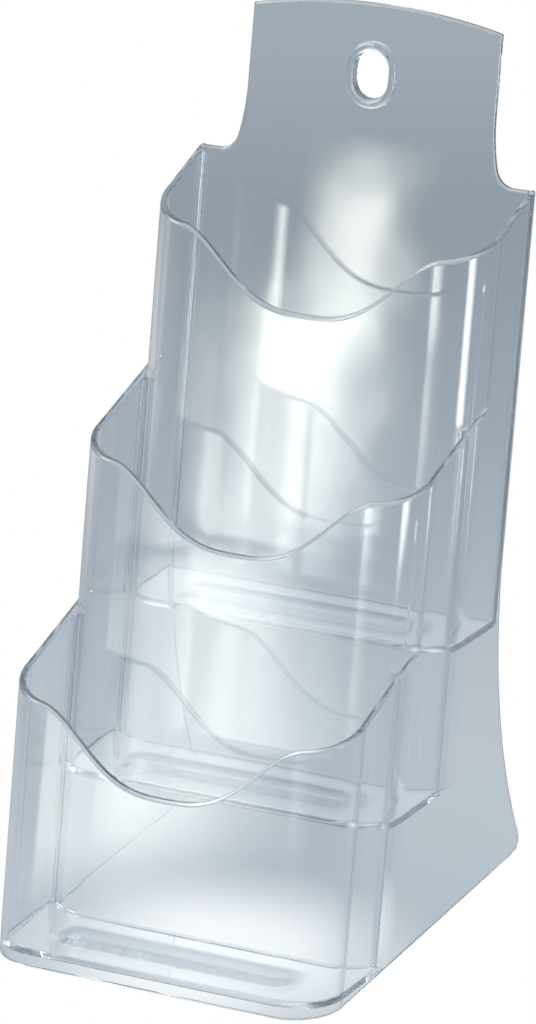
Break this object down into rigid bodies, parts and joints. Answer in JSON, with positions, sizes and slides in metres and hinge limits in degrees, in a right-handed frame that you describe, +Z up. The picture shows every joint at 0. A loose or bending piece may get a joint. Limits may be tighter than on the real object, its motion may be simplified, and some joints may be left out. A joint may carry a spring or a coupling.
{
  "type": "brochure rack",
  "caption": "Clear plastic brochure rack with stepped, leaning leaflet pockets, scooped rims and a tall back panel with a hanging hole.",
  "frame": {"origin": "bottom centre of the rack's bounding box, on the surface that it stands on", "axes": "+X across the rack, to the right as seen from the front; +Y from the front pocket to the back panel; +Z up"},
  "size_m": [0.11, 0.1553, 0.2573],
  "materials": {
    "clear_polystyrene": "water-clear, polished moulding"
  },
  "bodies": {
    "root": {"side_panel_left": "clear_polystyrene", "side_panel_right": "clear_polystyrene", "lower_pocket_front": "clear_polystyrene", "lower_pocket_floor": "clear_polystyrene", "middle_pocket_front": "clear_polystyrene", "middle_pocket_floor": "clear_polystyrene", "upper_pocket_front": "clear_polystyrene", "upper_pocket_floor": "clear_polystyrene", "back_panel": "clear_polystyrene", "hanger_collar": "clear_polystyrene"}
  },
  "joints": []
}
